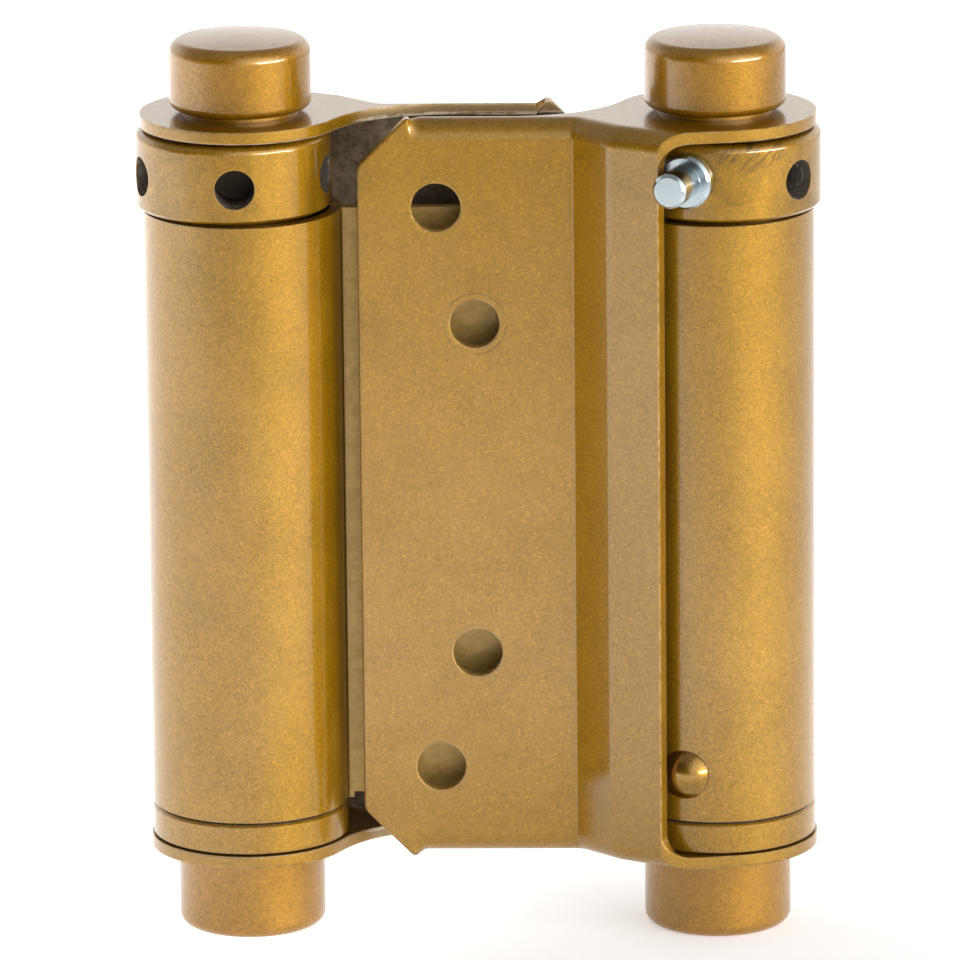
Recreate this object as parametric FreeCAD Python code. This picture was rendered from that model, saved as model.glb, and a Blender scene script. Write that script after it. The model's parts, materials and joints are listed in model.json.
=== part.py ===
import FreeCAD, Part
import math
import os

# Double action spring hinge in millimetres, standing upright with +Z up.
# The origin is midway between the two spindle axes, level with the undersides of the lower caps.
# X runs from the frame side to the door side and Y runs away from the face with the door leaf's plate.
# Everything on the frame side is the door side turned half a turn about Z.

# Sheet metal
SHEET = 1.2
BEND_INNER_RADIUS = 0.8
EDGE_ROUND = 0.25

# Spindle axes, barrels and web
AXIS_SPACING = 47.0
BARREL_RADIUS = 9.85
WEB_BEND_RADIUS = 0.2
WEB_RELIEF = 0.6
SEAM_GAP = 0.3

# Leaf plate and its lips
LEAF_HEIGHT = 75.4
PLATE_FACE_OFFSET = 5.0
CREASE_TO_BARREL = 4.25
LIP_DEPTH = 2.1
LIP_LENGTH = 15.1
LIP_FADE = 1.1
CORNER_FLAT = 0.3
CORNER_CUT = 4.8
CORNER_RISE = 0.2
CORNER_ROUND = 1.6
LIP_CORNER_ROUND = 0.5

# Leaf wall, from the crease to its free edge beside the barrel
CREASE_RADIUS = 0.3
STEEP_ANGLE = 44.0
WALL_ANGLE = 29.0
WALL_TO_BARREL_GAP = 1.47
WALL_BEND_RADIUS = 3.0
FREE_EDGE_FROM_AXIS = 5.6
WINDOW_CORNER_RADIUS = 2.5

# Leaf ears
EAR_OVERHANG = 0.2
EAR_SWEEP_RADIUS = 11.5

# Screw holes in the plates
SCREW_HOLE_RADIUS = 2.45
HOLES_ABOVE_MIDDLE = 0.2
OUTER_HOLES_FROM_CREASE = 13.5
OUTER_HOLES_SPACING = 57.5
INNER_HOLES_FROM_CREASE = 9.75
INNER_HOLES_SPACING = 33.8

# Spindle and caps
SPINDLE_RADIUS = 3.0
SPINDLE_DEPTH_IN_CAP = 4.5
TOP_CAP_RADIUS = 7.05
TOP_CAP_HEIGHT = 7.25
TOP_CAP_ROUND = 1.3
TOP_CAP_CROWN = 0.35
TOP_CAP_FOOT_ROUND = 0.8
NECK_RADIUS = 5.8
NECK_HEIGHT = 0.5
BOTTOM_CAP_RADIUS = 7.35
BOTTOM_CAP_HEIGHT = 8.3
BOTTOM_CAP_ROUND = 1.1
BOTTOM_CAP_TOP_ROUND = 0.5

# Bottom plug and its rivet
PLUG_FLANGE_HEIGHT = 2.95
PLUG_FLANGE_CHAMFER = 0.25
PLUG_SPIGOT_HEIGHT = 8.0
RIVET_HEIGHT_IN_BARREL = 4.8
RIVET_ANGLE = -19.5
RIVET_HEAD_RADIUS = 2.5
RIVET_HEAD_HEIGHT = 1.2
RIVET_SHANK_RADIUS = 1.5
RIVET_DEPTH_IN_PLUG = 3.0

# Tension collar and its pin
COLLAR_STEP = 0.1
COLLAR_HEIGHT = 7.75
COLLAR_ROUND = 0.8
COLLAR_CHAMFER = 0.3
COLLAR_SHIFT = 0.75
COLLAR_SPIGOT_HEIGHT = 6.0
PLAIN_HOLE_ANGLES = (72.0, 131.5, 203.5, 275.5)
PLAIN_HOLE_DROP = 0.35
PIN_HOLE_RISE = 0.35
COLLAR_HOLE_RADIUS = 1.98
COLLAR_HOLE_DEPTH = 5.0
PIN_SHOULDER_RADIUS = 2.75
PIN_SHOULDER_HEIGHT = 1.3
PIN_TIP_RADIUS = 1.75
PIN_TIP_LENGTH = 4.2
PIN_CHAMFER = 0.3

# Torsion spring
SPRING_WIRE_RADIUS = 1.0
SPRING_PITCH = 3.0
SPRING_TANG_DEPTH = 3.0
SPRING_TANG_ANGLE = 90.0

# Clearances
RUNNING_CLEARANCE = 0.06
SEAT_CLEARANCE = 0.03
PLUG_TO_EAR_GAP = 0.25
PLUG_TO_BARREL_GAP = 0.25
BARREL_TO_COLLAR_GAP = 0.35
COLLAR_TO_EAR_GAP = 0.4
SPIGOT_TO_BORE_GAP = 0.3
SPRING_TO_BORE_GAP = 1.75
SPRING_END_GAP = 0.3
TANG_CLEARANCE = 0.1
PIN_TO_WALL_GAP = 0.1

# Heights worked out from the stack on a spindle
LEAF_BOTTOM = BOTTOM_CAP_HEIGHT
LEAF_TOP = LEAF_BOTTOM + LEAF_HEIGHT
HOLES_MIDDLE = LEAF_BOTTOM + LEAF_HEIGHT / 2 + HOLES_ABOVE_MIDDLE
PLUG_BOTTOM = LEAF_BOTTOM + SHEET + PLUG_TO_EAR_GAP
FLANGE_TOP = PLUG_BOTTOM + PLUG_FLANGE_HEIGHT
BARREL_BOTTOM = FLANGE_TOP + PLUG_TO_BARREL_GAP
COLLAR_TOP = LEAF_TOP - SHEET - COLLAR_TO_EAR_GAP
COLLAR_BOTTOM = COLLAR_TOP - COLLAR_HEIGHT
PIN_LEVEL = COLLAR_BOTTOM + COLLAR_HEIGHT / 2 + PIN_HOLE_RISE
PLAIN_HOLES_LEVEL = COLLAR_BOTTOM + COLLAR_HEIGHT / 2 - PLAIN_HOLE_DROP
BARREL_TOP = COLLAR_BOTTOM - BARREL_TO_COLLAR_GAP
PLUG_TOP = BARREL_BOTTOM + PLUG_SPIGOT_HEIGHT
SPIGOT_BOTTOM = COLLAR_BOTTOM - COLLAR_SPIGOT_HEIGHT
RIVET_LEVEL = BARREL_BOTTOM + RIVET_HEIGHT_IN_BARREL
COIL_START = PLUG_TOP + SPRING_END_GAP + SPRING_WIRE_RADIUS
COIL_END = SPIGOT_BOTTOM - SPRING_END_GAP - SPRING_WIRE_RADIUS

# Other sizes worked out from those above
BARREL_BORE = BARREL_RADIUS - SHEET
COLLAR_RADIUS = BARREL_RADIUS - COLLAR_STEP
COLLAR_SPIGOT_RADIUS = BARREL_BORE - COLLAR_SHIFT - SPIGOT_TO_BORE_GAP
SPRING_COIL_RADIUS = BARREL_BORE - SPRING_WIRE_RADIUS - SPRING_TO_BORE_GAP
EAR_RADIUS = BARREL_RADIUS + EAR_OVERHANG
BEND_OUTER_RADIUS = BEND_INNER_RADIUS + SHEET
CREASE_FROM_AXIS = BARREL_RADIUS + CREASE_TO_BARREL
WALL_FROM_AXIS = BARREL_RADIUS + WALL_TO_BARREL_GAP + SHEET
LIP_END = CREASE_FROM_AXIS + LIP_LENGTH
FLAT_START = LIP_END + LIP_FADE
PLATE_EDGE = FLAT_START + CORNER_FLAT + CORNER_CUT
BEYOND = EAR_RADIUS + PLATE_EDGE

# How close two places count as the same, and how many points of an edge are looked at
NEAR = 1e-6
SAMPLES = 5

ORIGIN = FreeCAD.Vector(0, 0, 0)
UP = FreeCAD.Vector(0, 0, 1)
AWAY = FreeCAD.Vector(0, 1, 0)


def point(x, y, z=0.0):
    """A point given by its coordinates."""
    return FreeCAD.Vector(x, y, z)


def heading(angle):
    """The unit vector in plan at an angle turned from the front, -Y, towards +X."""
    turn = math.radians(angle)
    return point(math.sin(turn), -math.cos(turn))


def rounded_path(points, radii):
    """Edges along open points in plan, with each inner corner rounded by its own radius."""
    edges = []
    start = points[0]
    for before, corner, after, radius in zip(points, points[1:], points[2:], radii):
        back = (before - corner).normalize()
        ahead = (after - corner).normalize()
        half = back.getAngle(ahead) / 2
        reach = radius / math.tan(half)
        middle = (back + ahead).normalize()
        centre = corner + middle * (radius / math.sin(half))
        edges.append(Part.LineSegment(start, corner + back * reach).toShape())
        arc = Part.Arc(corner + back * reach, centre - middle * radius, corner + ahead * reach)
        edges.append(arc.toShape())
        start = corner + ahead * reach
    edges.append(Part.LineSegment(start, points[-1]).toShape())
    return edges


def polygon_edges(points):
    """Straight edges from each point to the next."""
    return [Part.LineSegment(a, b).toShape() for a, b in zip(points, points[1:])]


def arc_about(centre, radius, start, end):
    """An arc in plan about a centre, from one angle to another in degrees from +X."""
    angles = [math.radians(a) for a in (start, (start + end) / 2, end)]
    places = [centre + point(math.cos(a), math.sin(a)) * radius for a in angles]
    return Part.Arc(*places).toShape()


def raised(edges, bottom, top):
    """The solid between two heights over a closed outline in plan."""
    face = Part.Face(Part.Wire(Part.__sortEdges__(edges)))
    face.translate(UP * bottom)
    return face.extrude(UP * (top - bottom))


def turned(profile):
    """The solid of revolution of a closed outline in X and Z about the Z axis."""
    return Part.Face(Part.Wire(profile)).revolve(ORIGIN, UP, 360)


def rod(radius, bottom, top):
    """An upright cylinder on the Z axis."""
    return Part.makeCylinder(radius, top - bottom, point(0, 0, bottom))


def edges_where(solid, test):
    """The edges of a solid whose every sampled point passes a test."""
    chosen = []
    for edge in solid.Edges:
        if all(test(p) for p in edge.discretize(SAMPLES)):
            chosen.append(edge)
    return chosen


def at_height(z):
    """A test for points that lie at a height."""
    return lambda p: abs(p.z - z) < NEAR


def centre_web():
    """The rolled sheet: a flat web whose two ends turn into the barrels, cut back a little below."""
    barrel = point(AXIS_SPACING / 2, 0)
    half_sheet = SHEET / 2
    bend_outer = WEB_BEND_RADIUS + SHEET
    bend_level = WEB_BEND_RADIUS + half_sheet
    reach = math.sqrt((BARREL_RADIUS + WEB_BEND_RADIUS) ** 2 - bend_level ** 2)
    bend = barrel + point(-reach, bend_level)
    meet = math.degrees(math.atan2(bend_level, -reach))
    seam = -(half_sheet + SEAM_GAP)
    inner_end = math.degrees(math.asin(seam / BARREL_BORE))
    outer_end = math.degrees(math.asin(seam / BARREL_RADIUS))
    inner_seam = barrel + point(-BARREL_BORE * math.cos(math.radians(inner_end)), seam)
    outer_seam = barrel + point(-BARREL_RADIUS * math.cos(math.radians(outer_end)), seam)
    half = [
        Part.LineSegment(point(0, -half_sheet), point(bend.x, -half_sheet)).toShape(),
        arc_about(bend, bend_outer, -90, meet - 180),
        arc_about(barrel, BARREL_BORE, meet, -180 - inner_end),
        Part.LineSegment(inner_seam, outer_seam).toShape(),
        arc_about(barrel, BARREL_RADIUS, -180 - outer_end, meet),
        arc_about(bend, WEB_BEND_RADIUS, meet - 180, -90),
        Part.LineSegment(point(bend.x, half_sheet), point(0, half_sheet)).toShape(),
    ]
    other_half = [edge.copy() for edge in half]
    for edge in other_half:
        edge.rotate(ORIGIN, UP, 180)
    web = raised(half + other_half, BARREL_BOTTOM, BARREL_TOP)
    relief_reach = AXIS_SPACING / 2 - BARREL_RADIUS - WEB_RELIEF
    corner = point(-relief_reach, -BEYOND, BARREL_BOTTOM)
    relief = Part.makeBox(2 * relief_reach, 2 * BEYOND, WEB_RELIEF, corner)
    hole = rivet_shank(RIVET_SHANK_RADIUS + SEAT_CLEARANCE)
    return web.cut(relief).cut(on_door_side(hole)).cut(on_frame_side(hole))


def on_door_side(shape):
    """A copy of a piece made about the Z axis, moved to the door side's spindle axis."""
    placed = shape.copy()
    placed.translate(point(AXIS_SPACING / 2, 0))
    return placed


def on_frame_side(shape):
    """A copy of a piece made about the Z axis, moved to the frame side and turned half a turn."""
    placed = on_door_side(shape)
    placed.rotate(ORIGIN, UP, 180)
    return placed


def wall_points(depth):
    """The leaf sheet in plan, a depth behind its outer face: plate, crease, bend and free edge."""
    steep = math.radians(STEEP_ANGLE)
    wall = math.radians(WALL_ANGLE)
    crease = point(-CREASE_FROM_AXIS, -PLATE_FACE_OFFSET)
    short_by = WALL_FROM_AXIS + math.sin(wall) * crease.x + math.cos(wall) * crease.y
    steep_run = short_by / (math.cos(wall) * math.tan(steep) - math.sin(wall))
    bend = crease + point(steep_run, -steep_run * math.tan(steep))
    run = -FREE_EDGE_FROM_AXIS - bend.x
    edge = bend + point(run, -run * math.tan(wall))
    at_crease = point(depth * math.tan(steep / 2), depth)
    half_turn = (steep + wall) / 2
    at_bend = point(math.sin(half_turn), math.cos(half_turn)) * (depth / math.cos((steep - wall) / 2))
    at_edge = point(math.sin(wall), math.cos(wall)) * depth
    return [crease + at_crease, bend + at_bend, edge + at_edge]


def wall_radii(depth):
    """The radii of the crease and of the bend, a depth behind the sheet's outer face."""
    return [CREASE_RADIUS + depth, WALL_BEND_RADIUS - depth]


def leaf_block():
    """The leaf's outer form: plate, lips, wall and ears as one block with rounded bends."""
    crease, bend, edge = wall_points(0)
    lip_start = point(-LIP_END, -PLATE_FACE_OFFSET)
    front = rounded_path([lip_start, crease, bend, edge], wall_radii(0))
    edge_reach = math.hypot(edge.x, edge.y)
    ear_start = math.degrees(math.atan2(edge.y, edge.x) + math.acos(EAR_RADIUS / edge_reach))
    sweep_level = LIP_DEPTH - PLATE_FACE_OFFSET + EAR_SWEEP_RADIUS
    sweep_reach = math.sqrt((EAR_RADIUS + EAR_SWEEP_RADIUS) ** 2 - sweep_level ** 2)
    sweep = point(-sweep_reach, sweep_level)
    ear_end = math.degrees(math.atan2(sweep_level, -sweep_reach))
    ear = arc_about(ORIGIN, EAR_RADIUS, ear_start, ear_end)
    side = Part.LineSegment(edge, ear.Vertexes[0].Point).toShape()
    hollow = arc_about(sweep, EAR_SWEEP_RADIUS, ear_end - 180, -90)
    lip_level = LIP_DEPTH - PLATE_FACE_OFFSET
    rim = [hollow.Vertexes[-1].Point, point(-LIP_END, lip_level), lip_start]
    block = raised(front + [side, ear, hollow] + polygon_edges(rim), LEAF_BOTTOM, LEAF_TOP)
    on_front = front_edge_test(front)
    bends = []
    for level in (LEAF_BOTTOM, LEAF_TOP):
        same_level = at_height(level)
        bends += edges_where(block, lambda p: same_level(p) and on_front(p))
    return block.makeFillet(BEND_OUTER_RADIUS, bends)


def front_edge_test(path):
    """A test for points that lie over a path in plan."""
    wire = Part.Wire(path)
    return lambda p: wire.distToShape(Part.Vertex(p.x, p.y, 0))[0] < NEAR


def leaf_hollow():
    """The space behind the leaf's sheet, between the inner faces of its lips and ears."""
    crease, bend, edge = wall_points(SHEET)
    along = (edge - bend).normalize()
    far_start = point(-LIP_END - BEYOND, SHEET - PLATE_FACE_OFFSET)
    far_end = edge + along * BEYOND
    front = rounded_path([far_start, crease, bend, far_end], wall_radii(SHEET))
    back = [far_end, point(far_end.x, BEYOND), point(far_start.x, BEYOND), far_start]
    bottom = LEAF_BOTTOM + SHEET
    top = LEAF_TOP - SHEET
    hollow = raised(front + polygon_edges(back), bottom, top)
    on_front = front_edge_test(front)
    bends = []
    for level in (bottom, top):
        same_level = at_height(level)
        bends += edges_where(hollow, lambda p: same_level(p) and on_front(p))
    return hollow.makeFillet(BEND_INNER_RADIUS, bends)


def leaf_window():
    """The opening for the barrel beyond the wall's free edge, between the ears."""
    edge = wall_points(0)[2]
    height = LEAF_HEIGHT - 2 * SHEET
    window = Part.makeBox(BEYOND, BEYOND, height, point(0, -BEYOND / 2))
    corners = edges_where(window, lambda p: abs(p.x) < NEAR and abs(p.z % height) < NEAR)
    window = window.makeFillet(WINDOW_CORNER_RADIUS, corners)
    window.rotate(ORIGIN, UP, -WALL_ANGLE)
    window.translate(edge + UP * (LEAF_BOTTOM + SHEET))
    return window


def bend_arc(centre, radius, way, short):
    """A bend's arc in an upright section, from the plate to a place that is short of the bend's centre."""
    turn = math.acos(short / radius)
    places = [centre + point(0, -math.cos(a), way * math.sin(a)) * radius for a in (0, turn / 2, turn)]
    return Part.Arc(*places).toShape()


def lip_edges(x, level, way, bent):
    """One lip's edges in an upright section: its outer bend, its tip and its inner bend."""
    front = point(x, -PLATE_FACE_OFFSET, level - way * BEND_OUTER_RADIUS)
    straight = max(LIP_DEPTH - BEND_OUTER_RADIUS, 0)
    if bent:
        centre = front + AWAY * BEND_OUTER_RADIUS
        short = max(BEND_OUTER_RADIUS - LIP_DEPTH, 0)
        outer = bend_arc(centre, BEND_OUTER_RADIUS, way, short)
        inner = bend_arc(centre, BEND_INNER_RADIUS, way, short)
        ahead = AWAY * straight
    else:
        rise = UP * (way * (BEND_OUTER_RADIUS + CORNER_RISE - straight))
        back = front + AWAY * SHEET
        outer = Part.LineSegment(front, front + rise).toShape()
        inner = Part.LineSegment(back, back + rise).toShape()
        ahead = UP * (way * straight)
    outer_end = outer.Vertexes[-1].Point
    inner_end = inner.Vertexes[-1].Point
    tip = [outer_end, inner_end]
    if straight > NEAR:
        tip = [outer_end, outer_end + ahead, inner_end + ahead, inner_end]
    return [outer] + polygon_edges(tip) + [inner]


def lip_section(x, bent):
    """The plate's upright section at a place along X, with its lips bent or opened out flat."""
    upper = lip_edges(x, LEAF_TOP, 1, bent)
    lower = lip_edges(x, LEAF_BOTTOM, -1, bent)
    front = Part.LineSegment(lower[0].Vertexes[0].Point, upper[0].Vertexes[0].Point).toShape()
    back = Part.LineSegment(upper[-1].Vertexes[0].Point, lower[-1].Vertexes[0].Point).toShape()
    return Part.Wire([front] + upper + [back] + lower[::-1])


def lip_fade():
    """The strip of the plate past the lips, where their bends open out into the flat end."""
    sections = [lip_section(-LIP_END, True), lip_section(-FLAT_START, False)]
    return Part.makeLoft(sections, True, True)


def plate_end():
    """The flat end of the plate past the lips, with its two corners cut."""
    low = LEAF_BOTTOM - CORNER_RISE
    high = LEAF_TOP + CORNER_RISE
    outline = [
        point(-FLAT_START, 0, low),
        point(CORNER_CUT - PLATE_EDGE, 0, low),
        point(-PLATE_EDGE, 0, low + CORNER_CUT),
        point(-PLATE_EDGE, 0, high - CORNER_CUT),
        point(CORNER_CUT - PLATE_EDGE, 0, high),
        point(-FLAT_START, 0, high),
    ]
    radii = [LIP_CORNER_ROUND, CORNER_ROUND, CORNER_ROUND, LIP_CORNER_ROUND]
    edges = rounded_path(outline, radii) + polygon_edges([outline[-1], outline[0]])
    face = Part.Face(Part.Wire(edges))
    face.translate(point(0, -PLATE_FACE_OFFSET))
    plate = face.extrude(AWAY * SHEET)
    rim = edges_where(plate, lambda p: abs(p.y + PLATE_FACE_OFFSET) < NEAR)
    rim = [e for e in rim if e.CenterOfMass.x < -FLAT_START - NEAR]
    return plate.makeFillet(EDGE_ROUND, rim)


def screw_holes():
    """The four screw holes through a plate, in two upright pairs."""
    pairs = [
        (OUTER_HOLES_FROM_CREASE, OUTER_HOLES_SPACING),
        (INNER_HOLES_FROM_CREASE, INNER_HOLES_SPACING),
    ]
    holes = []
    for from_crease, spacing in pairs:
        for side in (-1, 1):
            place = point(-CREASE_FROM_AXIS - from_crease, -BEYOND, HOLES_MIDDLE + side * spacing / 2)
            holes.append(Part.makeCylinder(SCREW_HOLE_RADIUS, BEYOND, place, AWAY))
    return Part.makeCompound(holes)


def leaf():
    """One stamped leaf about its own spindle axis, with the plate on the -X side."""
    sheet = leaf_block().cut(leaf_hollow()).cut(leaf_window()).fuse([lip_fade(), plate_end()])
    spindle_hole = rod(SPINDLE_RADIUS + SEAT_CLEARANCE, 0, LEAF_TOP + BEYOND)
    return sheet.cut(spindle_hole).cut(screw_holes()).removeSplitter()


def spindle():
    """The rod through both ears, seated in the two caps."""
    bottom = LEAF_BOTTOM - SPINDLE_DEPTH_IN_CAP
    return rod(SPINDLE_RADIUS, bottom, LEAF_TOP + SPINDLE_DEPTH_IN_CAP)


def top_cap():
    """The upper cap: a neck on the ear, a rounded foot and a rounded, slightly crowned top."""
    underside = LEAF_TOP + NECK_HEIGHT
    shoulder = underside + TOP_CAP_HEIGHT - TOP_CAP_CROWN
    top = underside + TOP_CAP_HEIGHT
    flat = TOP_CAP_RADIUS - TOP_CAP_ROUND
    slant = TOP_CAP_ROUND * math.sqrt(0.5)
    ball = (flat ** 2 + TOP_CAP_CROWN ** 2) / (2 * TOP_CAP_CROWN)
    halfway = top - ball + math.sqrt(ball ** 2 - (flat / 2) ** 2)
    crown = Part.Arc(point(flat, 0, shoulder), point(flat / 2, 0, halfway), point(0, 0, top))
    rounding = Part.Arc(
        point(TOP_CAP_RADIUS, 0, shoulder - TOP_CAP_ROUND),
        point(flat + slant, 0, shoulder - TOP_CAP_ROUND + slant),
        point(flat, 0, shoulder))
    foot_slant = TOP_CAP_FOOT_ROUND * (1 - math.sqrt(0.5))
    foot = Part.Arc(
        point(TOP_CAP_RADIUS - TOP_CAP_FOOT_ROUND, 0, underside),
        point(TOP_CAP_RADIUS - foot_slant, 0, underside + foot_slant),
        point(TOP_CAP_RADIUS, 0, underside + TOP_CAP_FOOT_ROUND))
    below = polygon_edges([
        point(0, 0, top),
        point(0, 0, LEAF_TOP),
        point(NECK_RADIUS, 0, LEAF_TOP),
        point(NECK_RADIUS, 0, underside),
        point(TOP_CAP_RADIUS - TOP_CAP_FOOT_ROUND, 0, underside),
    ])
    side = polygon_edges([
        point(TOP_CAP_RADIUS, 0, underside + TOP_CAP_FOOT_ROUND),
        point(TOP_CAP_RADIUS, 0, shoulder - TOP_CAP_ROUND),
    ])
    cap = turned(below + [foot.toShape()] + side + [rounding.toShape(), crown.toShape()])
    socket = rod(SPINDLE_RADIUS + SEAT_CLEARANCE, LEAF_TOP, LEAF_TOP + SPINDLE_DEPTH_IN_CAP)
    return cap.cut(socket)


def bottom_cap():
    """The lower cap, flat against the ear and rounded at its foot and its upper edge."""
    cap = rod(BOTTOM_CAP_RADIUS, 0, BOTTOM_CAP_HEIGHT)
    cap = cap.makeFillet(BOTTOM_CAP_ROUND, edges_where(cap, at_height(0)))
    cap = cap.makeFillet(BOTTOM_CAP_TOP_ROUND, edges_where(cap, at_height(BOTTOM_CAP_HEIGHT)))
    socket = rod(SPINDLE_RADIUS + SEAT_CLEARANCE, LEAF_BOTTOM - SPINDLE_DEPTH_IN_CAP, LEAF_BOTTOM)
    return cap.cut(socket)


def rivet_shank(radius):
    """A rod along the rivet's axis, from its seat in the plug to the barrel's outside."""
    seat = heading(RIVET_ANGLE) * (BARREL_BORE - RIVET_DEPTH_IN_PLUG)
    length = RIVET_DEPTH_IN_PLUG + SHEET + RIVET_HEAD_HEIGHT / 2
    return Part.makeCylinder(radius, length, seat + UP * RIVET_LEVEL, heading(RIVET_ANGLE))


def plug_rivet():
    """The rivet that holds the plug: a shank and a dome head on the barrel's outside."""
    ball = (RIVET_HEAD_RADIUS ** 2 + RIVET_HEAD_HEIGHT ** 2) / (2 * RIVET_HEAD_HEIGHT)
    top = BARREL_RADIUS + RIVET_HEAD_HEIGHT
    out = heading(RIVET_ANGLE)
    dome = Part.makeSphere(ball, out * (top - ball) + UP * RIVET_LEVEL)
    neck = Part.makeCylinder(RIVET_HEAD_RADIUS, top, UP * RIVET_LEVEL, out)
    barrel = rod(BARREL_RADIUS + SEAT_CLEARANCE, 0, LEAF_TOP)
    head = dome.common(neck).cut(barrel)
    return head.fuse(rivet_shank(RIVET_SHANK_RADIUS)).removeSplitter()


def bottom_plug():
    """The plug in the barrel's lower end, with a flange under the barrel and a hole for the spring."""
    flange = rod(BARREL_RADIUS, PLUG_BOTTOM, FLANGE_TOP)
    flange = flange.makeChamfer(PLUG_FLANGE_CHAMFER, edges_where(flange, at_height(FLANGE_TOP)))
    spigot = rod(BARREL_BORE - SEAT_CLEARANCE, FLANGE_TOP, PLUG_TOP)
    bore = rod(SPINDLE_RADIUS + RUNNING_CLEARANCE, 0, LEAF_TOP)
    plug = flange.fuse(spigot).cut(bore)
    plug = plug.cut(rivet_shank(RIVET_SHANK_RADIUS + SEAT_CLEARANCE))
    tang = Part.makeCylinder(
        SPRING_WIRE_RADIUS + TANG_CLEARANCE,
        SPRING_TANG_DEPTH,
        spring_place(0) + UP * (PLUG_TOP - SPRING_TANG_DEPTH))
    return plug.cut(tang)


def spring_turns():
    """How many turns the coil makes between the plug and the collar."""
    return (COIL_END - COIL_START) / SPRING_PITCH


def spring_place(turns):
    """The wire's place in plan after a number of turns; the last turn ends towards the collar's shift."""
    return heading(SPRING_TANG_ANGLE + 360 * (turns - spring_turns())) * SPRING_COIL_RADIUS


def torsion_spring():
    """The coil with an upright tang at each end, one in the plug and one in the collar."""
    start = spring_place(0)
    helix = Part.makeLongHelix(SPRING_PITCH, COIL_END - COIL_START, SPRING_COIL_RADIUS)
    helix.rotate(ORIGIN, UP, math.degrees(math.atan2(start.y, start.x)))
    helix.translate(UP * COIL_START)
    path = Part.Wire(helix.Edges)
    begin = path.Edges[0]
    place = begin.valueAt(begin.FirstParameter)
    section = Part.Wire(Part.makeCircle(SPRING_WIRE_RADIUS, place, begin.tangentAt(begin.FirstParameter)))
    coil = path.makePipeShell([section], True, True)
    ends = [
        (start + UP * COIL_START, -1, COIL_START - PLUG_TOP + SPRING_TANG_DEPTH),
        (spring_place(spring_turns()) + UP * COIL_END, 1, SPIGOT_BOTTOM + SPRING_TANG_DEPTH - COIL_END),
    ]
    for corner, way, length in ends:
        tang = Part.makeCylinder(SPRING_WIRE_RADIUS, length, corner, UP * way)
        coil = coil.fuse(tang).fuse(Part.makeSphere(SPRING_WIRE_RADIUS, corner))
    return coil


def pin_angle():
    """The angle at which the pin's tip stands beside the leaf wall's free edge."""
    edge = wall_points(SHEET)[2] - point(COLLAR_SHIFT, 0)
    reach = math.hypot(edge.x, edge.y)
    side = math.asin((PIN_TIP_RADIUS + PIN_TO_WALL_GAP) / reach)
    return math.degrees(math.atan2(edge.x, -edge.y) + side)


def collar_hole(angle, level):
    """A radial rod at a collar hole, from the hole's bottom to past the collar's outside."""
    bottom = COLLAR_RADIUS - COLLAR_HOLE_DEPTH
    place = point(COLLAR_SHIFT, 0, level) + heading(angle) * bottom
    return Part.makeCylinder(COLLAR_HOLE_RADIUS, COLLAR_HOLE_DEPTH + BEYOND, place, heading(angle))


def tension_collar():
    """The ring over the barrel: radial holes round it, and a spigot that takes the spring's upper tang."""
    ring = rod(COLLAR_RADIUS, COLLAR_BOTTOM, COLLAR_TOP)
    ring = ring.makeFillet(COLLAR_ROUND, edges_where(ring, at_height(COLLAR_TOP)))
    ring = ring.makeChamfer(COLLAR_CHAMFER, edges_where(ring, at_height(COLLAR_BOTTOM)))
    spigot = rod(COLLAR_SPIGOT_RADIUS, SPIGOT_BOTTOM, COLLAR_BOTTOM)
    bore = rod(SPINDLE_RADIUS + COLLAR_SHIFT + RUNNING_CLEARANCE, 0, LEAF_TOP)
    collar = ring.fuse(spigot).cut(bore)
    collar.translate(point(COLLAR_SHIFT, 0))
    collar = collar.cut(collar_hole(pin_angle(), PIN_LEVEL))
    for angle in PLAIN_HOLE_ANGLES:
        collar = collar.cut(collar_hole(pin_angle() + angle, PLAIN_HOLES_LEVEL))
    tang = Part.makeCylinder(
        SPRING_WIRE_RADIUS + TANG_CLEARANCE,
        SPRING_TANG_DEPTH,
        spring_place(spring_turns()) + UP * SPIGOT_BOTTOM)
    return collar.cut(tang)


def tension_pin():
    """The stepped pin: a shank in the collar's hole, a shoulder on the collar and a thinner tip."""
    shank = COLLAR_HOLE_RADIUS - SEAT_CLEARANCE
    shoulder = COLLAR_HOLE_DEPTH + PIN_SHOULDER_HEIGHT
    end = shoulder + PIN_TIP_LENGTH
    outline = polygon_edges([
        point(0, 0, 0),
        point(shank, 0, 0),
        point(shank, 0, COLLAR_HOLE_DEPTH),
        point(PIN_SHOULDER_RADIUS, 0, COLLAR_HOLE_DEPTH),
        point(PIN_SHOULDER_RADIUS, 0, shoulder - PIN_CHAMFER),
        point(PIN_SHOULDER_RADIUS - PIN_CHAMFER, 0, shoulder),
        point(PIN_TIP_RADIUS, 0, shoulder),
        point(PIN_TIP_RADIUS, 0, end - PIN_CHAMFER),
        point(PIN_TIP_RADIUS - PIN_CHAMFER, 0, end),
        point(0, 0, end),
        point(0, 0, 0),
    ])
    pin = turned(outline)
    pin.Placement = FreeCAD.Placement(
        point(COLLAR_SHIFT, 0, PIN_LEVEL) + heading(pin_angle()) * (COLLAR_RADIUS - COLLAR_HOLE_DEPTH),
        FreeCAD.Rotation(UP, heading(pin_angle())))
    return pin


def save(name, shape):
    """Write one piece to its own file."""
    shape.exportStep(os.path.join("parts", name + ".step"))


def main():
    """Make every piece and write it."""
    os.makedirs("parts", exist_ok=True)
    save("centre_web", centre_web())
    pieces = {
        "leaf": leaf(),
        "spindle": spindle(),
        "top_cap": top_cap(),
        "bottom_cap": bottom_cap(),
        "bottom_plug": bottom_plug(),
        "plug_rivet": plug_rivet(),
        "torsion_spring": torsion_spring(),
        "tension_collar": tension_collar(),
        "tension_pin": tension_pin(),
    }
    for name, shape in pieces.items():
        save("door_" + name, on_door_side(shape))
        save("frame_" + name, on_frame_side(shape))


main()
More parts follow.
